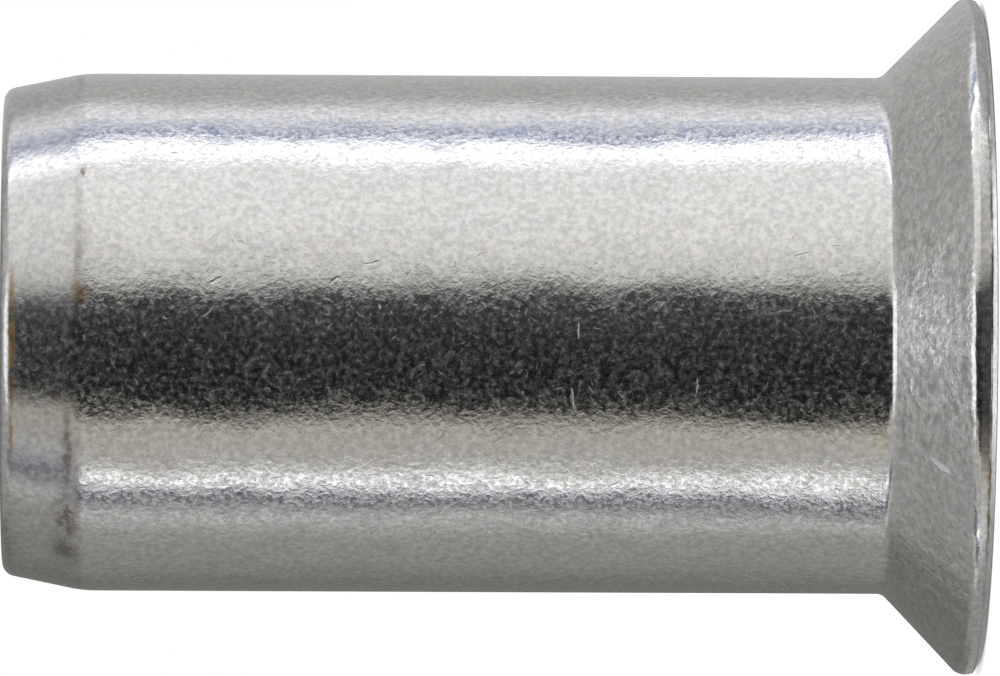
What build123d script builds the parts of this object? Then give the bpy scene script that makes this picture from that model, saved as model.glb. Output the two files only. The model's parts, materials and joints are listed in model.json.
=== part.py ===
from build123d import *
import os
from math import radians, tan

# Open-ended rivet nut with a countersunk head, cold formed from one piece of
# steel and threaded in its nose.
# Frame: the axis is Z. The head's flat face lies on z = 0 and the nose points
# up, so the part stands on its head with the origin at the centre of that face.

# Driving dimensions, in millimetres and degrees.

# Outside of the shank, which passes through the sheet's round hole.
OVERALL_LENGTH = 17.0
SHANK_DIAMETER = 9.0

# Countersunk head: a conical seat, a narrow land round the largest diameter,
# and a rounded edge that is wider across the face than along the axis.
HEAD_DIAMETER = 11.8
SEAT_ANGLE = 90.0
HEAD_LAND = 0.16
SEAT_EDGE_RADIUS = 0.10
FACE_EDGE_AXIAL = 0.20
FACE_EDGE_RADIAL = 0.36

# Nose: a slight taper that leads the part into its hole.
NOSE_TAPER_LENGTH = 1.4
NOSE_TAPER_ANGLE = 11.6
NOSE_BLEND_RADIUS = 2.0
NOSE_EDGE_RADIUS = 0.15

# Thin wall behind the head, which folds outwards when the nut is set.
COLLAPSE_WALL = 0.9
COLLAPSE_DEPTH = 7.4
SHOULDER_ANGLE = 118.0
SHOULDER_RADIUS = 0.3
MOUTH_CHAMFER = 0.15

# Metric thread in the nose, held here as a plain bore at the minor diameter.
THREAD_DIAMETER = 6.0
THREAD_PITCH = 1.0
THREAD_LEAD_IN = 0.05
THREAD_CHAMFER_ANGLE = 90.0

# Radii and heights worked out from the driving dimensions.
shank_radius = SHANK_DIAMETER / 2
head_radius = HEAD_DIAMETER / 2
seat_start = FACE_EDGE_AXIAL + HEAD_LAND
seat_end = seat_start + (head_radius - shank_radius) / tan(radians(SEAT_ANGLE / 2))
nose_drop = NOSE_TAPER_LENGTH * tan(radians(NOSE_TAPER_ANGLE))
taper_start = OVERALL_LENGTH - NOSE_TAPER_LENGTH
nose_radius = shank_radius - nose_drop

bore_radius = shank_radius - COLLAPSE_WALL
minor_radius = (THREAD_DIAMETER - THREAD_PITCH) / 2
shoulder_rise = (bore_radius - minor_radius) / tan(radians(SHOULDER_ANGLE / 2))
lead_in_radius = THREAD_DIAMETER / 2 + THREAD_LEAD_IN
chamfer_depth = (lead_in_radius - minor_radius) / tan(radians(THREAD_CHAMFER_ANGLE / 2))


def corner(radius, height):
    """A selector for the section's vertex at this radius and height."""
    def at_corner(vertex):
        return abs(vertex.X - radius) < 1e-6 and abs(vertex.Y - height) < 1e-6

    return at_corner


def half_section():
    """The metal cut by the half plane y = 0, x > 0, with its rounded corners."""
    with BuildSketch(Plane.XZ) as section:
        with BuildLine():
            # Head: face, rounded edge, land and seat.
            Line((bore_radius + MOUTH_CHAMFER, 0), (head_radius - FACE_EDGE_RADIAL, 0))
            EllipticalCenterArc(
                (head_radius - FACE_EDGE_RADIAL, FACE_EDGE_AXIAL),
                FACE_EDGE_RADIAL,
                FACE_EDGE_AXIAL,
                start_angle=270,
                arc_size=90,
            )
            Polyline(
                (head_radius, FACE_EDGE_AXIAL),
                (head_radius, seat_start),
                (shank_radius, seat_end),
                # Shank and nose.
                (shank_radius, taper_start),
                (nose_radius, OVERALL_LENGTH),
                (lead_in_radius, OVERALL_LENGTH),
                # Threaded bore and its chamfer.
                (minor_radius, OVERALL_LENGTH - chamfer_depth),
                (minor_radius, COLLAPSE_DEPTH + shoulder_rise),
                # Shoulder, wide bore and mouth.
                (bore_radius, COLLAPSE_DEPTH),
                (bore_radius, MOUTH_CHAMFER),
                (bore_radius + MOUTH_CHAMFER, 0),
            )
        make_face()
        rounded_corners = (
            (head_radius, seat_start, SEAT_EDGE_RADIUS),
            (shank_radius, taper_start, NOSE_BLEND_RADIUS),
            (nose_radius, OVERALL_LENGTH, NOSE_EDGE_RADIUS),
            (bore_radius, COLLAPSE_DEPTH, SHOULDER_RADIUS),
        )
        for radius, height, rounding in rounded_corners:
            fillet(section.vertices().filter_by(corner(radius, height)), rounding)
    return section.sketch


def rivet_nut():
    """The whole part, turned from its half section."""
    return revolve(half_section(), axis=Axis.Z, revolution_arc=360)


os.makedirs("parts", exist_ok=True)
export_step(rivet_nut(), "parts/rivet_nut.step")
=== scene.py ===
import bmesh
import bpy
import json
from math import atan2, cos, exp, hypot, pi, radians, sin, tan
from mathutils import Matrix, Vector, noise


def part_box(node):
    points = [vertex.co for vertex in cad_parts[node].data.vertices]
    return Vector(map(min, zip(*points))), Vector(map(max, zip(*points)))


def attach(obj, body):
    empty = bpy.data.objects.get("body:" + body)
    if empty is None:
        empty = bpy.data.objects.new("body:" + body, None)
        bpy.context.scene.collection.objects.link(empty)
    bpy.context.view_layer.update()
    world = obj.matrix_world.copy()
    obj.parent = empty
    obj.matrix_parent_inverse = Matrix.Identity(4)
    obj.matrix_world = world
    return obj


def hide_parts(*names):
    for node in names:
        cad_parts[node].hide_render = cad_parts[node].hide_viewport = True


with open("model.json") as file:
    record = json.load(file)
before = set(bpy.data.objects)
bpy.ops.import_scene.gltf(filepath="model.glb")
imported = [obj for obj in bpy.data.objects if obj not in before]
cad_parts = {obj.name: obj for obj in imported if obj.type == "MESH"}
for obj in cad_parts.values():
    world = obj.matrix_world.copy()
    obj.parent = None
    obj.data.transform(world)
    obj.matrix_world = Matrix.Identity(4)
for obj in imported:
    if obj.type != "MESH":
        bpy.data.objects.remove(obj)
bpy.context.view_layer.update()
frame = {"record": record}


# ---------------------------------------------------------------------------
# Camera. A long lens a couple of hand widths from the part, level with its
# nose, rolled so that the standing part lies across the picture with its
# nose to the left.
# ---------------------------------------------------------------------------
CAMERA_DISTANCE = 0.2178
CAMERA_HEIGHT = 0.01253
AIM_HEIGHT = 0.00836
AIM_SIDE = -0.00007
LENS_MM = 450
ROLL = radians(-89.72)

camera_data = bpy.data.cameras.new("camera")
camera_data.lens = LENS_MM
camera_data.clip_start = 0.01
camera_data.clip_end = 3.0
camera = bpy.data.objects.new("camera", camera_data)
bpy.context.scene.collection.objects.link(camera)
camera_place = Vector((AIM_SIDE, -CAMERA_DISTANCE, CAMERA_HEIGHT))
sight = Vector((AIM_SIDE, 0, AIM_HEIGHT)) - camera_place
turn = sight.to_track_quat("-Z", "Y").to_matrix() @ Matrix.Rotation(ROLL, 3, "Z")
camera.matrix_world = Matrix.Translation(camera_place) @ turn.to_4x4()
bpy.context.scene.camera = camera
bpy.context.scene.view_settings.view_transform = "Standard"


# ---------------------------------------------------------------------------
# Rivet nut. One piece of steel, cold formed with a countersunk head, a thin
# wall behind it and a solid nose, then drilled and threaded through the nose
# and tumbled, which left its skin bright, finely dented and scratched.
# ---------------------------------------------------------------------------
MM = 0.001
low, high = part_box("rivet_nut")
mounts = {mount["name"]: mount for mount in frame["record"]["mounts"]}

# Sizes read from the frame, in millimetres.
total = (high.z - low.z) / MM
head_radius = (high.x - low.x) / 2 / MM
shank_radius = mounts["shank"]["dims"]["r_mm"]
bore_radius = mounts["clearance_bore"]["dims"]["r_mm"]
minor_radius = mounts["thread"]["dims"]["r_mm"]
seat_middle = mounts["seat"]["pos_m"][2] / MM

# Head: the seat's edge and foot, the face's rounded edge, and the crease that
# the blanking tools left between that edge and the land.
SEAT_EDGE = 0.10
SEAT_FOOT_BLEND = 0.09
FACE_EDGE_AXIAL = 0.10
FACE_EDGE_RADIAL = 0.36
CREASE_DEPTH = 0.018
CREASE_WIDTH = 0.030
CREASE_LIP = 1.4

# Nose, and the wide bore behind the head with its mouth and shoulder.
TAPER_LENGTH = 1.4
TAPER_ANGLE = radians(11.6)
TAPER_BLEND = 0.20
NOSE_EDGE = 0.17
MOUTH_CHAMFER = 0.15
SHOULDER_HEIGHT = 7.4
SHOULDER_HALF_ANGLE = radians(59)
SHOULDER_BLEND = 0.17

# Metric thread in the nose.
PITCH = 1.0
MAJOR_RADIUS = 3.0
FLANK_ANGLE = radians(30)
ROOT_FLAT = 0.125
LEAD_IN_RADIUS = 3.05

# How finely the surface is cut, and how near its parts lie where they join.
SEGMENTS = 480
FACE_EDGE_STEPS = 8
RING_STEP = 0.35
EDGE_MARGIN = 0.02
THREAD_TRIM = 0.004
THREAD_WELD = 0.0005
TOUCHING = 1e-5
SHARP_ANGLE = radians(28)

half_seat = (head_radius - shank_radius) / 2
seat_start = seat_middle - half_seat
seat_end = seat_middle + half_seat
taper_start = total - TAPER_LENGTH
nose_radius = shank_radius - TAPER_LENGTH * tan(TAPER_ANGLE)
thread_foot = SHOULDER_HEIGHT + (bore_radius - LEAD_IN_RADIUS) / tan(SHOULDER_HALF_ANGLE)


def wire(bm, points):
    """A chain of edges through (radius, height) points."""
    chain = [bm.verts.new((radius, 0, height)) for radius, height in points]
    for first, second in zip(chain, chain[1:]):
        bm.edges.new((first, second))
    return chain


def round_corner(bm, radius, height, offset, segments):
    """Rounds the wire's corner at this point."""
    corner = min(bm.verts, key=lambda v: hypot(v.co.x - radius, v.co.z - height))
    bmesh.ops.bevel(
        bm, geom=[corner], offset=offset, offset_type="OFFSET", segments=segments,
        profile=0.5, affect="VERTICES", material=-1,
    )


def face_edge():
    """The rounded edge between the head's land and its face."""
    points = []
    for step in range(FACE_EDGE_STEPS + 1):
        angle = pi / 2 * step / FACE_EDGE_STEPS
        radius = head_radius - FACE_EDGE_RADIAL * (1 - cos(angle))
        points.append((radius, FACE_EDGE_AXIAL * (1 - sin(angle))))
    return points


def body_surface(bm):
    """Everything but the thread, turned from one section."""
    wire(bm, [
        (LEAD_IN_RADIUS, total),
        (nose_radius, total),
        (shank_radius, taper_start),
        (shank_radius, seat_end),
        (head_radius, seat_start),
        (head_radius, FACE_EDGE_AXIAL + CREASE_LIP * CREASE_WIDTH),
        (head_radius, FACE_EDGE_AXIAL + CREASE_WIDTH),
        (head_radius - CREASE_DEPTH, FACE_EDGE_AXIAL + CREASE_WIDTH / 2),
        *face_edge(),
        (bore_radius + MOUTH_CHAMFER, 0),
        (bore_radius, MOUTH_CHAMFER),
        (bore_radius, SHOULDER_HEIGHT),
        (LEAD_IN_RADIUS, thread_foot),
    ])
    rounded_corners = (
        (nose_radius, total, NOSE_EDGE, 8),
        (shank_radius, taper_start, TAPER_BLEND, 5),
        (shank_radius, seat_end, SEAT_FOOT_BLEND, 4),
        (head_radius, seat_start, SEAT_EDGE, 5),
        (bore_radius, SHOULDER_HEIGHT, SHOULDER_BLEND, 4),
    )
    for radius, height, rounding, segments in rounded_corners:
        round_corner(bm, radius, height, rounding, segments)
    # Narrow rings beside each edge keep the shading of the long walls flat.
    for edge in list(bm.edges):
        if edge.calc_length() > 5 * EDGE_MARGIN:
            for end in edge.verts[:]:
                bmesh.utils.edge_split(edge, end, EDGE_MARGIN / edge.calc_length())
    for edge in list(bm.edges):
        if edge.calc_length() > 2 * RING_STEP:
            cuts = int(edge.calc_length() / RING_STEP)
            bmesh.ops.subdivide_edges(bm, edges=[edge], cuts=cuts)
    bmesh.ops.spin(
        bm, geom=bm.verts[:] + bm.edges[:], axis=(0, 0, 1), cent=(0, 0, 0),
        angle=2 * pi, steps=SEGMENTS, use_merge=True,
    )


def scale_across(vert, factor):
    """Moves a point straight towards or away from the axis."""
    vert.co.x *= factor
    vert.co.y *= factor


def thread_surface(bm):
    """The right-hand internal thread, with its ends run out on two cones."""
    flank = (MAJOR_RADIUS - minor_radius) * tan(FLANK_ANGLE)
    crest = PITCH - ROOT_FLAT - 2 * flank
    points = []
    for tooth in range(int((total - thread_foot) / PITCH) + 3):
        foot = thread_foot - 1.5 * PITCH + tooth * PITCH
        points += [
            (minor_radius, foot),
            (minor_radius, foot + crest),
            (MAJOR_RADIUS, foot + crest + flank),
            (MAJOR_RADIUS, foot + crest + flank + ROOT_FLAT),
        ]
    chain = wire(bm, points)
    bmesh.ops.spin(
        bm, geom=chain + bm.edges[:], axis=(0, 0, 1), cent=(0, 0, 0),
        dvec=(0, 0, PITCH / SEGMENTS), angle=2 * pi, steps=SEGMENTS,
    )
    bmesh.ops.remove_doubles(bm, verts=bm.verts[:], dist=THREAD_WELD)
    trims = ((thread_foot + THREAD_TRIM, True, False), (total - THREAD_TRIM, False, True))
    for height, inner, outer in trims:
        bmesh.ops.bisect_plane(
            bm, geom=bm.verts[:] + bm.edges[:] + bm.faces[:], dist=TOUCHING,
            plane_co=(0, 0, height), plane_no=(0, 0, 1),
            clear_inner=inner, clear_outer=outer,
        )
    for vert in bm.verts:
        radius = hypot(vert.co.x, vert.co.y)
        chamfer = LEAD_IN_RADIUS - (total - vert.co.z)
        shoulder = LEAD_IN_RADIUS - (vert.co.z - thread_foot) * tan(SHOULDER_HALF_ANGLE)
        scale_across(vert, max(radius, chamfer, shoulder) / radius)


def open_ring(bm, height):
    """The open edges near this height."""
    return [e for e in bm.edges if e.is_boundary and abs(e.verts[0].co.z - height) < 0.01]


# Wear of the tools, which left the edges uneven. The seat is a little shorter
# on the front side, and its foot lies a little low and tilted.
RIM_RISE = 0.058
RIM_RISE_MIDDLE = radians(15)
RIM_RISE_REACH = radians(30)
RIM_WANDER = 0.022
LAND_WANDER = 0.0088
SEAT_FOOT_DROP = 0.04
SEAT_FOOT_TILT = 0.03
NOSE_WANDER = 0.02
# The face's edge is rounded further on the head's two sides, from this sine of
# the azimuth and over this span of it.
SIDE_EDGE_AXIAL = 0.235
SIDE_EDGE_TILT = 0.035
SIDE_START = 0.58
SIDE_SPAN = 0.36
# Each edge's own wander: about how many swings to a turn, and a seed.
RIM_SWINGS = (90, 1)
RIM_RIPPLES = (220, 2)
LAND_SWINGS = (140, 3)
NOSE_SWINGS = (60, 4)
CREASE_SWINGS = (60, 5)


def wander(azimuth, per_turn, seed):
    """A smooth random number from -1 to 1 that goes round the part."""
    spot = Vector((cos(azimuth), sin(azimuth), seed)) * per_turn / (2 * pi)
    return noise.noise(spot + Vector((0, 0, seed * 7.3)))


def shift_seat_and_land(vert, height, azimuth):
    """Moves the seat's edge and foot and the land along the axis."""
    rim = RIM_RISE * exp(-((azimuth - RIM_RISE_MIDDLE) / RIM_RISE_REACH) ** 2)
    rim += RIM_WANDER * (wander(azimuth, *RIM_SWINGS) + wander(azimuth, *RIM_RIPPLES) / 2)
    foot = SEAT_FOOT_TILT * vert.co.x / shank_radius - SEAT_FOOT_DROP
    along = min(max((height - seat_start) / (seat_end - seat_start), 0), 1)
    if height > FACE_EDGE_AXIAL + 2 * CREASE_WIDTH:
        vert.co.z += rim * (1 - along) + foot * along
    elif height > 0.8 * FACE_EDGE_AXIAL:
        vert.co.z += LAND_WANDER * wander(azimuth, *LAND_SWINGS)


def round_sides(vert, radius, height, azimuth):
    """Rounds the face's edge further on the head's two sides."""
    side = min(max((abs(sin(azimuth)) - SIDE_START) / SIDE_SPAN, 0), 1)
    side_edge = SIDE_EDGE_AXIAL + SIDE_EDGE_TILT * sin(azimuth)
    if height < side_edge and radius > head_radius - FACE_EDGE_RADIAL:
        fall = 1 - height / side_edge
        worn_radius = head_radius - FACE_EDGE_RADIAL * (1 - (1 - fall ** 2) ** 0.5)
        scale_across(vert, 1 + side * min(worn_radius / radius - 1, 0))


def close_crease(vert, radius, height, azimuth):
    """Keeps the crease open on the front side only, and uneven there."""
    in_crease = head_radius - radius
    on_crease = FACE_EDGE_AXIAL < height < FACE_EDGE_AXIAL + CREASE_WIDTH
    if on_crease and in_crease > CREASE_DEPTH / 2:
        open_share = max(cos(azimuth), 0) ** 2 * (0.75 + 0.5 * wander(azimuth, *CREASE_SWINGS))
        scale_across(vert, 1 + in_crease * (1 - open_share) / radius)


def uneven_edges(bm):
    """Moves the outer rings of the head and nose by the tools' unevenness."""
    for vert in bm.verts:
        radius, height = hypot(vert.co.x, vert.co.y), vert.co.z
        azimuth = atan2(vert.co.x, -vert.co.y)
        if radius > shank_radius - 0.01 and height < seat_end + 0.2:
            shift_seat_and_land(vert, height, azimuth)
            round_sides(vert, radius, height, azimuth)
            close_crease(vert, radius, height, azimuth)
        if height > total - NOSE_EDGE and radius > nose_radius - NOSE_EDGE:
            drop = NOSE_WANDER * (0.5 + 0.5 * wander(azimuth, *NOSE_SWINGS))
            vert.co.z -= drop * (radius - nose_radius + NOSE_EDGE) / NOSE_EDGE / 2


mesh = bpy.data.meshes.new("rivet_nut_dressed")
body = bmesh.new()
body_surface(body)
uneven_edges(body)
thread = bmesh.new()
thread_surface(thread)
thread_mesh = bpy.data.meshes.new("thread")
thread.to_mesh(thread_mesh)
thread.free()
body.from_mesh(thread_mesh)
bpy.data.meshes.remove(thread_mesh)
for ring_height in (total, thread_foot):
    bmesh.ops.bridge_loops(body, edges=open_ring(body, ring_height))
bmesh.ops.remove_doubles(body, verts=body.verts[:], dist=TOUCHING)
bmesh.ops.recalc_face_normals(body, faces=body.faces[:])
for face in body.faces:
    face.smooth = True
for edge in body.edges:
    edge.smooth = len(edge.link_faces) == 2 and edge.calc_face_angle() < SHARP_ANGLE
bmesh.ops.scale(body, vec=(MM, MM, MM), verts=body.verts[:])
body.to_mesh(mesh)
body.free()

nut = bpy.data.objects.new("rivet_nut_dressed", mesh)
bpy.context.scene.collection.objects.link(nut)
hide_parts("rivet_nut")
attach(nut, "root")


class Bench:
    """Adds nodes to one tree, and joins or fills their sockets."""

    def __init__(self, tree):
        self.nodes, self.links = tree.nodes, tree.links

    def put(self, value, socket):
        if isinstance(value, bpy.types.NodeSocket):
            self.links.new(value, socket)
        else:
            socket.default_value = value

    def add(self, kind, inputs=None, **settings):
        node = self.nodes.new(kind)
        for name, setting in settings.items():
            setattr(node, name, setting)
        for name, value in (inputs or {}).items():
            self.put(value, node.inputs[name])
        return node

    def math(self, operation, *values, clamp=False):
        node = self.add("ShaderNodeMath", operation=operation, use_clamp=clamp)
        for value, socket in zip(values, node.inputs):
            self.put(value, socket)
        return node.outputs[0]

    def times(self, first, second, clamp=False):
        return self.math("MULTIPLY", first, second, clamp=clamp)

    def added(self, value, share, base, clamp=False):
        """The base, with this share of the value added to it."""
        return self.math("MULTIPLY_ADD", value, share, base, clamp=clamp)

    def distance(self, value, middle):
        """How far the value lies from the middle, either way."""
        return self.math("ABSOLUTE", self.math("SUBTRACT", value, middle))

    def vector(self, operation, *values, output="Vector"):
        node = self.add("ShaderNodeVectorMath", operation=operation)
        for value, socket in zip(values, node.inputs):
            self.put(value, socket)
        return node.outputs[output]

    def length(self, value):
        return self.vector("LENGTH", value, output="Value")

    def scaled(self, color, factor):
        return self.vector("SCALE", color, (0, 0, 0), (0, 0, 0), factor)

    def ease(self, value, start, end, low=0.0, high=1.0):
        """Goes from low to high as the value goes from start to end."""
        node = self.add(
            "ShaderNodeMapRange",
            {"Value": value, "From Min": start, "From Max": end, "To Min": low, "To Max": high},
            interpolation_type="SMOOTHSTEP",
        )
        return node.outputs["Result"]

    def mapped(self, place, scale=(1, 1, 1), rotation=(0, 0, 0), location=(0, 0, 0)):
        node = self.add(
            "ShaderNodeMapping",
            {"Vector": place, "Scale": scale, "Rotation": rotation, "Location": location},
        )
        return node.outputs[0]

    def noise(self, place, per_mm=1, detail=3, roughness=0.5, stretch=(1, 1, 1), shift=None):
        """A noise with this many grains to a millimetre."""
        if shift or stretch != (1, 1, 1):
            place = self.mapped(place, stretch, location=shift or (0, 0, 0))
        node = self.add(
            "ShaderNodeTexNoise",
            {"Vector": place, "Scale": per_mm, "Detail": detail, "Roughness": roughness},
        )
        return node.outputs["Fac"]

    def mix(self, factor, first, second):
        node = self.add(
            "ShaderNodeMix", {"Factor": factor, "A": first, "B": second}, data_type="RGBA",
        )
        return node.outputs["Result"]


def new_material(name):
    """A material, and the bench that adds nodes to it."""
    material = bpy.data.materials.new(name)
    material.use_nodes = True
    return material, Bench(material.node_tree)


# Colours of the steel and of what lies on it.
STEEL_COOL = (0.643, 0.643, 0.640)
STEEL_WARM = (0.668, 0.655, 0.625)
PIT_COLOR = (0.42, 0.40, 0.37)
FRESH_COLOR = (0.93, 0.93, 0.94)
STAIN_COLOR = (0.38, 0.25, 0.12)
SOOT_COLOR = (0.15, 0.125, 0.11)
# Also the colour of a painted shade in one dent.
GRIME_AND_SHADE_COLOR = (0.20, 0.175, 0.15)

# The noises on the skin, in grains to a millimetre. A shift keeps one noise
# apart from another, and a stretch gives flat grains that lie round the part.
WAVES = dict(per_mm=0.7, detail=1)
DENTS = dict(per_mm=7, roughness=0.58)
FLECKS = dict(per_mm=10.2, roughness=0.66, shift=(3, 5, 7))
NICKS = dict(stretch=(8, 8, 13.5), detail=2.4, roughness=0.67)
TONES = dict(per_mm=5, roughness=0.6, shift=(11, 2, 5))
GRAIN = dict(per_mm=9.2, roughness=0.6, shift=(1, 9, 4))
MOTTLE = dict(stretch=(5.2, 5.2, 10), roughness=0.62, shift=(4, 4, 4))
RAGGED = dict(per_mm=5, roughness=0.7, shift=(6, 1, 8))
FILLING = dict(per_mm=1.6, roughness=0.7, shift=(2, 6, 1))

# Where each noise starts and ends to show and, in some, what it gives there.
FLECK_RANGE = (0.28, 0.86)
NICK_RANGE = (0.40, 0.72)
SCUFF_RANGE = (0.42, 0.62, 0.25, 1.0)
TONE_RANGE = (0.35, 0.65)
GRAIN_RANGE = (0.30, 0.70, 0.85, 1.14)
FILLING_RANGE = (0.38, 0.60, 0.15, 1.0)
PATCH_RANGE = (0.32, 0.62, 0.25, 1.25)
BROWN_RANGE = (0.36, 0.56)

# Short scratches: cells to a millimetre, and how far each reaches from its
# middle along and across, in millimetres. Off the shank, on the seat and the
# land, only a share of their strength is left.
FINE_SCRATCHES = (6.4, 0.105, 0.017)
COARSE_SCRATCHES = (3.2, 0.18, 0.019)
SCRATCHES_OFF_SHANK = 0.4

# Depths of the dents, scratches and waves, in millimetres.
WAVE_DEPTH = 0.045
DENT_DEPTH = 0.0030
FLECK_DEPTH = 0.0029
SCRATCH_DEPTH = 0.0022
NICK_DEPTH = 0.0074
GOUGE_DEPTH = 0.006

# The dies pressed the land, the taper and the seat's foot smoother: by these
# shares there is less wear, shallower grit and flatter waves on them.
LAND_LESS_WORN = 0.55
TAPER_LESS_WORN = 0.55
LAND_SMOOTHER = 0.6
TAPER_SMOOTHER = 0.5
FOOT_SMOOTHER = 0.7
TAPER_FLATTER = 0.75
TAPER_DARKER = 0.12

# How far the seat's tone swings between its lighter and darker patches, on the
# front, and what is left of that towards the two sides.
SEAT_MOTTLE = 0.30
SEAT_MOTTLE_FADE = (1.2, 2.8, 1.0, 0.4)

# How much of the bare metal a dull film hides, in the flecks and in wear, and
# how rough the metal is, bare and on the taper, in wear and under a stain.
FLECK_FILM = 0.13
WORN_FILM = 0.05
BARE_ROUGHNESS = 0.11
TAPER_ROUGHNESS = 0.17
WORN_ROUGHNESS = 0.38
STAIN_ROUGHNESS = 0.12

# Single scratches and dents: azimuth in degrees from the front, height,
# length, width, turn from the axis in degrees, and strength.
GOUGES = (
    (-14.0, 7.20, 0.66, 0.060, 83, 1.0),
    (0.8, 7.12, 0.42, 0.040, 92, 0.8),
    (-11.0, 5.08, 0.40, 0.034, 94, 0.7),
    (15.5, 10.64, 0.36, 0.050, -12, 0.8),
    (11.6, 11.27, 0.26, 0.070, -32, 1.0),
    (11.4, 13.30, 0.28, 0.080, -28, 1.0),
    (42.0, 11.60, 0.32, 0.050, -58, 0.8),
    (6.0, 10.49, 0.13, 0.036, 84, 0.8),
    (17.8, 3.30, 0.30, 0.036, -20, 0.8),
    (37.8, 15.58, 0.22, 0.090, 70, 1.0),
    (-24.5, 0.92, 0.62, 0.150, 21, 1.0),
    (6.2, 1.405, 0.32, 0.075, 90, 0.6),
    (1.0, 1.40, 0.24, 0.065, 90, 0.6),
    (-2.7, 1.41, 0.20, 0.080, 90, 0.6),
    (8.5, 1.66, 0.36, 0.070, 90, 0.6),
    (-10.0, 1.41, 0.42, 0.060, 91, 0.6),
    (118.0, 9.40, 0.90, 0.050, 74, 0.9),
    (201.0, 12.10, 0.70, 0.045, 100, 0.9),
    (246.0, 7.00, 0.40, 0.050, -25, 0.9),
)
GOUGE_SOFTNESS = 0.6

# Brown stains left by oil on the nose and in the rim's crease, and grey grime
# round the corner of the taper and on the seat, with one spot of painted shade
# in a dent: azimuth, height, length along the axis, width round the part, and
# strength.
OIL_STAINS = (
    (-2.5, 16.79, 0.17, 3.60, 1.5),
    (-29.0, 0.115, 0.07, 3.20, 0.9),
    (-26.0, 16.80, 0.10, 2.00, 0.8),
    (8.5, 15.62, 0.50, 0.60, 0.7),
    (180.0, 16.80, 0.14, 2.60, 0.8),
)
GRIME_AND_DENT_SHADE = (
    (0.0, 15.58, 0.40, 1.80, 0.30),
    (20.0, 15.62, 0.50, 2.20, 0.25),
    # Painted shade, not grime: the dark notch in the dent at 37.8 degrees.
    (38.0, 15.57, 0.13, 0.40, 0.9),
    (-28.0, 15.84, 0.28, 2.20, 1.05),
    (-46.0, 15.86, 0.60, 2.00, 0.95),
    (-58.0, 15.90, 0.80, 1.80, 0.75),
    (2.0, 0.58, 0.16, 3.60, 0.55),
    (140.0, 15.80, 0.40, 2.20, 0.5),
)
STAIN_SOFTNESS = 0.9
SPOT_REACH = 0.9


def scratches(bench, place, per_mm, along, aside):
    """Short straight scratches, one to a cell, each turned its own way."""
    cell = bench.add("ShaderNodeTexVoronoi", {"Vector": place, "Scale": per_mm})
    reach = bench.vector("SUBTRACT", place, cell.outputs["Position"])
    lean = bench.vector("SUBTRACT", cell.outputs["Color"], (0.5, 0.5, 0.5))
    lean = bench.vector("NORMALIZE", lean)
    across = bench.vector("DOT_PRODUCT", reach, lean, output="Value")
    line = bench.ease(bench.math("ABSOLUTE", across), aside, 0.0)
    near = bench.ease(bench.length(reach), along, 0.0)
    lot = bench.add("ShaderNodeTexWhiteNoise", {"Vector": cell.outputs["Position"]})
    force = bench.math("POWER", lot.outputs["Value"], 2.5)
    return bench.times(bench.times(line, near), force)


def spots(bench, place, rows, softness):
    """The strongest of some long spots, each at its own place on the skin."""
    strongest = 0.0
    for azimuth, height, length, width, tilt, strength in rows:
        side = radians(azimuth)
        outward = Vector((sin(side), -cos(side), 0))
        around = Vector((cos(side), sin(side), 0))
        along = cos(radians(tilt)) * Vector((0, 0, 1)) + sin(radians(tilt)) * around
        radius = shank_radius + min(max(seat_end - height, 0), seat_end - seat_start)
        radius -= max(height - taper_start, 0) * tan(TAPER_ANGLE)
        turned = Matrix((along, outward.cross(along), outward)).transposed().to_euler()
        node = bench.add("ShaderNodeMapping", {
            "Vector": place, "Location": outward * radius + Vector((0, 0, height)),
            "Rotation": turned, "Scale": (length / 2, width / 2, SPOT_REACH),
        }, vector_type="TEXTURE")
        spot = bench.ease(bench.length(node.outputs[0]), 1.0, 1.0 - softness, 0.0, strength)
        strongest = bench.math("MAXIMUM", strongest, spot)
    return strongest


def blots(bench, place, rows):
    """Soft-edged spots that lie along the axis."""
    rows = [(azimuth, z, long, wide, 0, force) for azimuth, z, long, wide, force in rows]
    return spots(bench, place, rows, STAIN_SOFTNESS)


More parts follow.
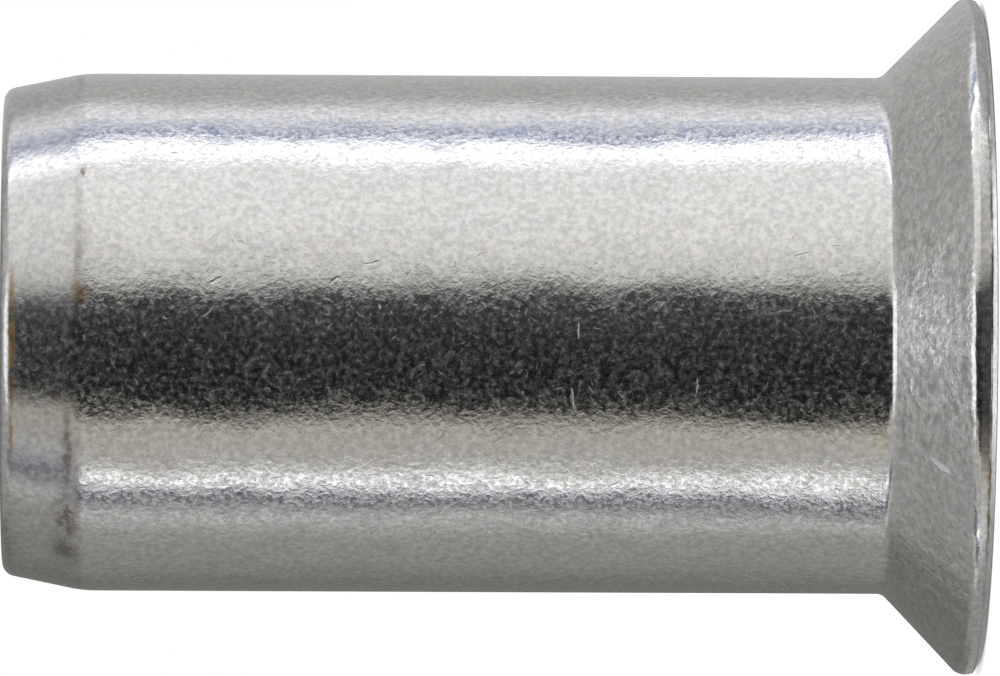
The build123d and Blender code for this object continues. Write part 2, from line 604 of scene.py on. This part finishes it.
class Skin:
    """Where a point of the skin lies, in millimetres, and what marks are on it."""

    def __init__(self, bench):
        self.place = bench.add("ShaderNodeTexCoord").outputs["Object"]
        self.place = bench.mapped(self.place, (1 / MM, 1 / MM, 1 / MM))
        split = bench.add("ShaderNodeSeparateXYZ", {"Vector": self.place})
        self.aside, self.front, self.height = split.outputs
        self.radius = bench.length(bench.vector("MULTIPLY", self.place, (1, 1, 0)))
        wobble = bench.add(
            "ShaderNodeTexNoise", {"Vector": self.place, "Scale": 7.0, "Detail": 1.0},
        ).outputs["Color"]
        wobble = bench.vector("SUBTRACT", wobble, (0.5, 0.5, 0.5))
        self.bent = bench.vector("MULTIPLY_ADD", wobble, (0.09, 0.09, 0.09), self.place)
        self.find_zones(bench)
        self.find_marks(bench)
        self.find_wear(bench)

    def find_zones(self, bench):
        """The seat, the land and the nose's taper."""
        off_shank = (shank_radius + 0.02, shank_radius + 0.16)
        to_land = (head_radius - 0.07, head_radius - 0.01)
        before_land = bench.ease(self.radius, *reversed(to_land))
        self.on_seat = bench.times(bench.ease(self.radius, *off_shank), before_land)
        self.on_land = bench.ease(self.radius, *to_land)
        self.on_taper = bench.ease(self.height, taper_start - 0.05, taper_start + 0.15)
        self.fewer = bench.ease(self.radius, *off_shank, 1.0, SCRATCHES_OFF_SHANK)

    def find_marks(self, bench):
        """Dents of the tumbling stones, scratches, and nicks round the seat."""
        self.dents = bench.noise(self.place, **DENTS)
        self.waves = bench.noise(self.place, **WAVES)
        fleck = bench.added(self.waves, 0.05, bench.noise(self.place, **FLECKS))
        self.fleck = bench.math("POWER", bench.ease(fleck, *FLECK_RANGE), 1.6)
        fine = scratches(bench, self.bent, *FINE_SCRATCHES)
        coarse = scratches(bench, self.bent, *COARSE_SCRATCHES)
        self.marks = bench.times(bench.math("MAXIMUM", fine, coarse), self.fewer)
        self.gouges = spots(bench, self.bent, GOUGES, GOUGE_SOFTNESS)
        # The die pressed the nicks in, most of all next to the shank.
        nicks = bench.ease(bench.noise(self.place, **NICKS), *NICK_RANGE)
        nicks = bench.times(nicks, self.on_seat)
        nicks = bench.times(nicks, bench.ease(self.waves, *SCUFF_RANGE))
        inward = bench.ease(self.radius, head_radius - 0.25, shank_radius + 0.45, 0.6, 1.15)
        self.nicks = bench.times(nicks, inward)

    def find_wear(self, bench):
        """How worn the skin is, from 0 to 1."""
        worn = bench.added(self.fleck, 0.6, self.marks)
        worn = bench.added(self.gouges, 0.35, worn)
        worn = bench.added(self.nicks, 0.3, worn, clamp=True)
        worn = bench.times(worn, bench.added(self.on_land, -LAND_LESS_WORN, 1.0))
        self.worn = bench.times(worn, bench.added(self.on_taper, -TAPER_LESS_WORN, 1.0))


def relief(bench, skin):
    """Height of the skin, in millimetres."""
    grit = bench.times(skin.dents, DENT_DEPTH)
    grit = bench.added(skin.fleck, -FLECK_DEPTH, grit)
    grit = bench.added(skin.marks, -SCRATCH_DEPTH, grit)
    calm = bench.added(skin.on_land, -LAND_SMOOTHER, 1.0)
    calm = bench.added(skin.on_taper, -TAPER_SMOOTHER, calm)
    at_foot = bench.ease(bench.distance(skin.height, seat_end - SEAT_FOOT_DROP), 0.12, 0.05)
    calm = bench.added(at_foot, -FOOT_SMOOTHER, calm, clamp=True)
    swell = bench.times(bench.math("SUBTRACT", skin.waves, 0.5), WAVE_DEPTH)
    swell = bench.times(swell, bench.added(skin.on_taper, -TAPER_FLATTER, 1.0))
    height = bench.added(grit, calm, swell)
    height = bench.added(skin.gouges, -GOUGE_DEPTH, height)
    return bench.added(skin.nicks, -NICK_DEPTH, height)


class DirtAndPaintedShade:
    """Oil in the rim's crease and on the nose, grime on the taper and seat, a darker line round
    the taper's corner, and a spot of painted shade in one dent.
    """

    def __init__(self, bench, skin):
        self.ragged = bench.noise(skin.place, **RAGGED)
        uneven_height = bench.math("ADD", skin.height, bench.added(self.ragged, 0.07, -0.035))
        filled = bench.ease(bench.noise(skin.place, **FILLING), *FILLING_RANGE)
        crease = bench.distance(uneven_height, FACE_EDGE_AXIAL + CREASE_WIDTH / 2)
        near_front = (-0.55 * head_radius, -0.95 * head_radius, 0.3, 1.0)
        in_front = bench.ease(skin.front, *near_front)
        self.crease = bench.times(bench.ease(crease, 0.042, 0.012), bench.times(filled, in_front))
        patchy = bench.ease(self.ragged, *PATCH_RANGE)
        self.oil = bench.times(blots(bench, skin.bent, OIL_STAINS), patchy, clamp=True)
        self.grime_and_dent_shade = bench.times(blots(bench, skin.bent, GRIME_AND_DENT_SHADE), patchy, clamp=True)
        # A darker ragged line round the taper's corner, in the grime colour.
        off_corner = bench.distance(uneven_height, taper_start + 0.06)
        corner = bench.ease(off_corner, 0.10, 0.02, 0.0, 0.30)
        self.corner = bench.times(corner, filled)
        self.all = bench.math("MAXIMUM", self.crease, self.oil)
        self.all = bench.math("MAXIMUM", self.all, self.grime_and_dent_shade)


def skin_color(bench, skin, dirt_and_shade):
    """Mottled steel, duller in its pits and bright in fresh scratches, with its dirt and a spot
    of painted shade in one dent.
    """
    tone = bench.ease(bench.noise(skin.place, **TONES), *TONE_RANGE)
    color = bench.mix(tone, (*STEEL_COOL, 1), (*STEEL_WARM, 1))
    shade = bench.ease(bench.noise(skin.place, **GRAIN), *GRAIN_RANGE)
    shade = bench.times(shade, bench.added(skin.on_taper, -TAPER_DARKER, 1.0))
    mottle = bench.noise(skin.place, **MOTTLE)
    mottle = bench.ease(mottle, 0.30, 0.70, -SEAT_MOTTLE, SEAT_MOTTLE)
    beside = bench.math("ABSOLUTE", skin.aside)
    mottle = bench.times(mottle, bench.ease(beside, *SEAT_MOTTLE_FADE))
    color = bench.scaled(color, bench.added(mottle, skin.on_seat, shade))
    pitted = bench.times(bench.times(skin.fleck, skin.on_seat), 0.7)
    pitted = bench.added(skin.worn, 0.30, pitted, clamp=True)
    color = bench.mix(pitted, color, (*PIT_COLOR, 1))
    fresh = bench.times(bench.times(skin.gouges, skin.on_seat), 0.8, clamp=True)
    color = bench.mix(fresh, color, (*FRESH_COLOR, 1))
    # The grime colour also paints the shade in one dent.
    color = bench.mix(bench.times(dirt_and_shade.grime_and_dent_shade, 0.85), color, (*GRIME_AND_SHADE_COLOR, 1))
    color = bench.mix(dirt_and_shade.corner, color, (*GRIME_AND_SHADE_COLOR, 1))
    brown = bench.ease(dirt_and_shade.ragged, *BROWN_RANGE)
    color = bench.mix(dirt_and_shade.oil, color, bench.mix(brown, (*SOOT_COLOR, 1), (*STAIN_COLOR, 1)))
    return bench.mix(bench.times(dirt_and_shade.crease, 0.7), color, (*SOOT_COLOR, 1))


def steel():
    """Tumbled steel: bright, finely dented, scratched and mottled."""
    material, bench = new_material("tumbled_steel")
    shader = bench.nodes["Principled BSDF"]
    skin = Skin(bench)
    dirt_and_shade = DirtAndPaintedShade(bench, skin)
    bump = bench.add("ShaderNodeBump", {"Height": relief(bench, skin), "Distance": MM})
    bench.put(bump.outputs["Normal"], shader.inputs["Normal"])
    bench.put(skin_color(bench, skin, dirt_and_shade), shader.inputs["Base Color"])
    film = bench.added(skin.worn, -WORN_FILM, bench.added(skin.fleck, -FLECK_FILM, 1.0))
    bench.put(film, shader.inputs["Metallic"])
    bare = bench.ease(skin.on_taper, 0.0, 1.0, BARE_ROUGHNESS, TAPER_ROUGHNESS)
    rough = bench.added(dirt_and_shade.all, STAIN_ROUGHNESS, bench.added(skin.worn, WORN_ROUGHNESS, bare))
    bench.put(rough, shader.inputs["Roughness"])
    return material


mesh.materials.append(steel())


# ---------------------------------------------------------------------------
# Backdrop and floor. White paper under the part and all round it, lit evenly,
# so that the part's own shadow shows on it. Its glow holds a painted shadow under the head's rim
# and, in reflections, a painted shade beside the head.
# ---------------------------------------------------------------------------
SKY_LIGHT = 0.60
FLOOR_SIZE = 3.0
FLOOR_COLOR = 0.80
FLOOR_ROUGHNESS = 0.9
FLOOR_GLOW = 0.55
# Painted shadow: under the head the paper glows less, up to these shares of its radius.
PAINTED_SHADOW_GLOW = 0.2
PAINTED_SHADOW_REACH = (0.95, 0.985)
# In reflections the paper to both sides of the head is darker, as far to the
# front and back as these shares of the head's radius.
SIDE_SHADE = 0.45
SIDE_SHADE_EDGE = (0.93, 0.70)


def seen_rays(bench):
    """1 for rays from the camera and for reflected and transmitted rays."""
    path = bench.add("ShaderNodeLightPath")
    seen = path.outputs["Is Camera Ray"]
    for name in ("Is Glossy Ray", "Is Transmission Ray"):
        seen = bench.math("ADD", seen, path.outputs[name], clamp=True)
    return seen


world = bpy.data.worlds.new("studio")
world.use_nodes = True
bpy.context.scene.world = world
bench = Bench(world.node_tree)
background = bench.nodes["Background"]
background.inputs["Color"].default_value = (1, 1, 1, 1)
level = bench.add(
    "ShaderNodeMapRange", {"Value": seen_rays(bench), "To Min": SKY_LIGHT, "To Max": 1.0},
)
bench.put(level.outputs["Result"], background.inputs["Strength"])

floor_mesh = bpy.data.meshes.new("floor")
plane = bmesh.new()
bmesh.ops.create_grid(plane, x_segments=1, y_segments=1, size=FLOOR_SIZE / 2)
plane.to_mesh(floor_mesh)
plane.free()
floor = bpy.data.objects.new("floor", floor_mesh)
bpy.context.scene.collection.objects.link(floor)
paper, bench = new_material("white_paper")
shader = bench.nodes["Principled BSDF"]
shader.inputs["Base Color"].default_value = (FLOOR_COLOR, FLOOR_COLOR, FLOOR_COLOR, 1)
shader.inputs["Roughness"].default_value = FLOOR_ROUGHNESS
shader.inputs["Specular IOR Level"].default_value = 0.0
shader.inputs["Emission Color"].default_value = (1, 1, 1, 1)
spot = bench.add("ShaderNodeTexCoord").outputs["Object"]
painted_shadow_edge = [high.x * share for share in PAINTED_SHADOW_REACH]
# The paper's glow, with a painted shadow under the head's rim.
glow_with_painted_shadow = bench.ease(
    bench.length(spot), *painted_shadow_edge, FLOOR_GLOW * PAINTED_SHADOW_GLOW, FLOOR_GLOW,
)
forward = bench.add("ShaderNodeSeparateXYZ", {"Vector": spot}).outputs["Y"]
shade_edge = [high.x * share for share in SIDE_SHADE_EDGE]
shade = bench.ease(bench.math("ABSOLUTE", forward), *shade_edge, 0.0, SIDE_SHADE)
mirrored = bench.add("ShaderNodeLightPath").outputs["Is Glossy Ray"]
unshaded = bench.math("SUBTRACT", 1.0, bench.times(shade, mirrored))
glow = bench.times(bench.times(seen_rays(bench), glow_with_painted_shadow), unshaded)
bench.put(glow, shader.inputs["Emission Strength"])
floor_mesh.materials.append(paper)


# ---------------------------------------------------------------------------
# Overhead lamp. A small soft disk in front and to one side, which only gives
# the part its shadow and its dull skin some light.
# ---------------------------------------------------------------------------
LAMP_PLACE = Vector((0.06, -0.05, 0.25))
LAMP_SIZE = 0.16
LAMP_POWER = 0.35

lamp_data = bpy.data.lights.new("overhead", "AREA")
lamp_data.shape = "DISK"
lamp_data.size = LAMP_SIZE
lamp_data.energy = LAMP_POWER
lamp = bpy.data.objects.new("overhead", lamp_data)
lamp.location = LAMP_PLACE
lamp.rotation_euler = (-LAMP_PLACE).to_track_quat("-Z", "Y").to_euler()
lamp.visible_glossy = False
bpy.context.scene.collection.objects.link(lamp)


# ---------------------------------------------------------------------------
# Light tent. A round tent of cloth panels with a low roof and a paper skirt
# that ends just under the head's rim. Only the metal's reflections see it,
# and each panel gives the light of one band on the metal.
# ---------------------------------------------------------------------------
TENT_RADIUS = 0.25
TENT_HEIGHT = 0.25
TENT_SIDES = 96
SKIRT_OPENING = 0.0057
SKIRT_HEIGHT = 0.00002

# Each panel of the wall: its direction in degrees from the camera's side,
# positive towards +X, and the colour it shows.
WALL_PANELS = (
    (-180, (0.20, 0.20, 0.19)),
    (-145, (0.20, 0.20, 0.185)),
    (-124, (0.31, 0.31, 0.29)),
    (-108, (0.36, 0.36, 0.34)),
    (-98, (0.37, 0.37, 0.36)),
    (-92, (0.66, 0.66, 0.66)),
    (-87.5, (0.80, 0.80, 0.80)),
    (-84, (0.25, 0.25, 0.27)),
    (-76, (0.095, 0.095, 0.135)),
    (-71.5, (0.38, 0.38, 0.46)),
    (-66, (0.60, 0.60, 0.62)),
    (-63.5, (0.59, 0.59, 0.58)),
    (-57, (0.50, 0.49, 0.47)),
    (-50, (0.555, 0.535, 0.49)),
    (-40, (0.66, 0.63, 0.55)),
    (-37, (0.020, 0.020, 0.020)),
    (-20, (0.010, 0.010, 0.011)),
    (0, (0.024, 0.024, 0.025)),
    (19, (0.060, 0.060, 0.063)),
    (22, (0.68, 0.68, 0.66)),
    (30, (0.86, 0.85, 0.84)),
    (45, (1.03, 1.02, 1.02)),
    (60, (1.11, 1.11, 1.11)),
    (81.5, (1.09, 1.09, 1.12)),
    (85, (2.30, 2.30, 2.35)),
    (92.5, (2.35, 2.35, 2.45)),
    (95, (0.28, 0.34, 0.54)),
    (103, (0.40, 0.46, 0.64)),
    (108, (1.18, 1.19, 1.26)),
    (116, (1.08, 1.08, 1.11)),
    (127, (0.50, 0.50, 0.50)),
    (180, (0.58, 0.58, 0.58)),
)
# Where the nose's taper looks, between these two elevations, the wall panels
# begin to lean towards the camera's side: by this share of their direction,
# and by this many degrees at most on the +X side.
LEAN_RISE = (14, 21)
PANEL_LEAN = 0.13
PANEL_LEAN_LIMIT = 3.0
# The skirt from this reach inwards, in metres, which only the head's land
# mirrors. Between the two reaches it turns into the colours of the wall.
NEAR_PANELS = (
    (-180, (0.32, 0.32, 0.31)),
    (-121, (0.30, 0.30, 0.29)),
    (-83, (0.33, 0.33, 0.32)),
    (-66, (0.37, 0.37, 0.36)),
    (-59, (0.42, 0.42, 0.43)),
    (-56, (0.38, 0.38, 0.45)),
    (-50, (0.84, 0.84, 0.86)),
    (-40, (0.76, 0.76, 0.75)),
    (-34, (0.48, 0.46, 0.41)),
    (-28, (0.36, 0.33, 0.28)),
    (-24, (0.14, 0.13, 0.12)),
    (-18, (0.060, 0.060, 0.062)),
    (11, (0.065, 0.065, 0.068)),
    (13, (0.30, 0.30, 0.29)),
    (17, (0.50, 0.49, 0.45)),
    (31, (0.55, 0.54, 0.52)),
    (38, (0.72, 0.72, 0.73)),
    (46, (0.90, 0.90, 0.93)),
    (50, (1.60, 1.60, 1.64)),
    (62, (1.70, 1.70, 1.76)),
    (66, (0.58, 0.62, 0.74)),
    (73, (0.64, 0.65, 0.70)),
    (82, (0.56, 0.56, 0.58)),
    (121, (0.42, 0.42, 0.42)),
    (180, (0.34, 0.34, 0.33)),
)
NEAR_REACH = (0.011, 0.018)
# The skirt a little nearer, which the land mirrors where it turns under.
RIM_PANELS = (
    (-180, (0.34, 0.34, 0.33)),
    (-60, (0.36, 0.36, 0.35)),
    (-36, (0.44, 0.43, 0.40)),
    (-29, (0.36, 0.33, 0.28)),
    (-24, (0.14, 0.13, 0.12)),
    (-18, (0.060, 0.060, 0.062)),
    (11, (0.065, 0.065, 0.068)),
    (13, (0.30, 0.30, 0.29)),
    (17, (0.50, 0.49, 0.45)),
    (31, (0.56, 0.56, 0.54)),
    (40, (0.50, 0.50, 0.50)),
    (70, (0.44, 0.44, 0.44)),
    (180, (0.34, 0.34, 0.33)),
)
RIM_REACH = (0.0068, 0.0080)
# The skirt's inner edge, which the rounded edge of the face mirrors.
FOOT_PANELS = (
    (-180, 0.34),
    (-50, 0.36),
    (-32, 0.50),
    (-20, 0.85),
    (-11, 1.25),
    (25, 1.25),
    (34, 0.60),
    (48, 0.46),
    (180, 0.34),
)
FOOT_REACH = (0.0061, 0.0064)
# The tent's upper part, above the wall panels, and the elevations in degrees
# over which the wall turns into it, and it into the crown of the roof.
UPPER_PANELS = (
    (-180, 0.22),
    (-160, 0.24),
    (-150, 0.34),
    (-110, 0.44),
    (-90, 0.42),
    (-45, 0.50),
    (-38, (1.40, 1.44, 1.52)),
    (26, (1.40, 1.44, 1.52)),
    (35, 0.60),
    (90, 0.55),
    (136, 0.45),
    (150, 0.45),
    (160, 0.26),
    (180, 0.22),
)
UPPER_RISE = (36, 46)
CROWN_COLOR = (0.50, 0.515, 0.54)
CROWN_RISE = (74, 85)
# A low white card at one side, which the shank mirrors and the taper doesn't.
CARD_MIDDLE = -68.6
CARD_REACH = 2.7
CARD_EDGE = 1.5
CARD_TOP = sin(radians(12))
CARD_FADE = 1.6
CARD_GLOW = 1.25


def panel_colors(bench, direction, panels):
    """The panels' colours round the tent, from -180 to 180 degrees."""
    node = bench.add("ShaderNodeValToRGB", {"Fac": direction})
    elements = node.color_ramp.elements
    while len(elements) < len(panels):
        elements.new(1.0)
    for element, (degrees, color) in zip(elements, panels):
        element.position = degrees / 360 + 0.5
        element.color = (*color, 1) if isinstance(color, tuple) else (color, color, color, 1)
    return node.outputs["Color"]


def rise(bench, height, elevations):
    """Goes from 0 to 1 between two elevations, in degrees."""
    start, end = (sin(radians(degrees)) for degrees in elevations)
    return bench.ease(height, start, end)


def tent_cloth():
    """The light that each part of the tent gives off."""
    material, bench = new_material("tent_cloth")
    bench.nodes.remove(bench.nodes["Principled BSDF"])
    place = bench.add("ShaderNodeTexCoord").outputs["Object"]
    facing = bench.mapped(place, rotation=(0, 0, pi / 2))
    direction = bench.add("ShaderNodeTexGradient", {"Vector": facing}, gradient_type="RADIAL")
    direction = direction.outputs["Fac"]
    upward = bench.add("ShaderNodeSeparateXYZ", {"Vector": bench.vector("NORMALIZE", place)})
    height = upward.outputs["Z"]
    reach = bench.length(place)

    lean = bench.added(direction, PANEL_LEAN, -PANEL_LEAN / 2)
    lean = bench.math("MINIMUM", lean, PANEL_LEAN_LIMIT / 360)
    leaning = bench.added(lean, rise(bench, height, LEAN_RISE), direction)
    wall = panel_colors(bench, leaning, WALL_PANELS)

    near = panel_colors(bench, direction, NEAR_PANELS)
    rim = panel_colors(bench, direction, RIM_PANELS)
    foot = panel_colors(bench, direction, FOOT_PANELS)
    near = bench.mix(bench.ease(reach, *RIM_REACH), rim, near)
    near = bench.mix(bench.ease(reach, *FOOT_REACH), foot, near)
    far = bench.ease(reach, *NEAR_REACH)
    upper = panel_colors(bench, direction, UPPER_PANELS)
    sides = bench.mix(rise(bench, height, UPPER_RISE), bench.mix(far, near, wall), upper)

    off_card = bench.distance(direction, CARD_MIDDLE / 360 + 0.5)
    card = bench.ease(off_card, (CARD_REACH + CARD_EDGE) / 360, CARD_REACH / 360, 0.0, CARD_GLOW)
    card = bench.times(card, bench.ease(height, CARD_TOP * CARD_FADE, CARD_TOP))
    card = bench.scaled((1, 1, 1), bench.times(card, far))
    sides = bench.vector("ADD", sides, card)
    glow = bench.mix(rise(bench, height, CROWN_RISE), sides, (*CROWN_COLOR, 1))
    emission = bench.add("ShaderNodeEmission", {"Color": glow})
    bench.put(emission.outputs[0], bench.nodes["Material Output"].inputs["Surface"])
    return material


tent_mesh = bpy.data.meshes.new("light_tent")
cloth = bmesh.new()
wire(cloth, [
    (SKIRT_OPENING, SKIRT_HEIGHT),
    (TENT_RADIUS, SKIRT_HEIGHT),
    (TENT_RADIUS, TENT_HEIGHT),
    (0, TENT_HEIGHT + TENT_RADIUS / 2),
])
bmesh.ops.spin(
    cloth, geom=cloth.verts[:] + cloth.edges[:], axis=(0, 0, 1), cent=(0, 0, 0),
    angle=2 * pi, steps=TENT_SIDES, use_merge=True,
)
bmesh.ops.remove_doubles(cloth, verts=cloth.verts[:], dist=1e-6)
cloth.to_mesh(tent_mesh)
cloth.free()
tent = bpy.data.objects.new("light_tent", tent_mesh)
bpy.context.scene.collection.objects.link(tent)
tent_mesh.materials.append(tent_cloth())
tent.visible_camera = False
tent.visible_diffuse = False
tent.visible_shadow = False
tent.visible_transmission = False
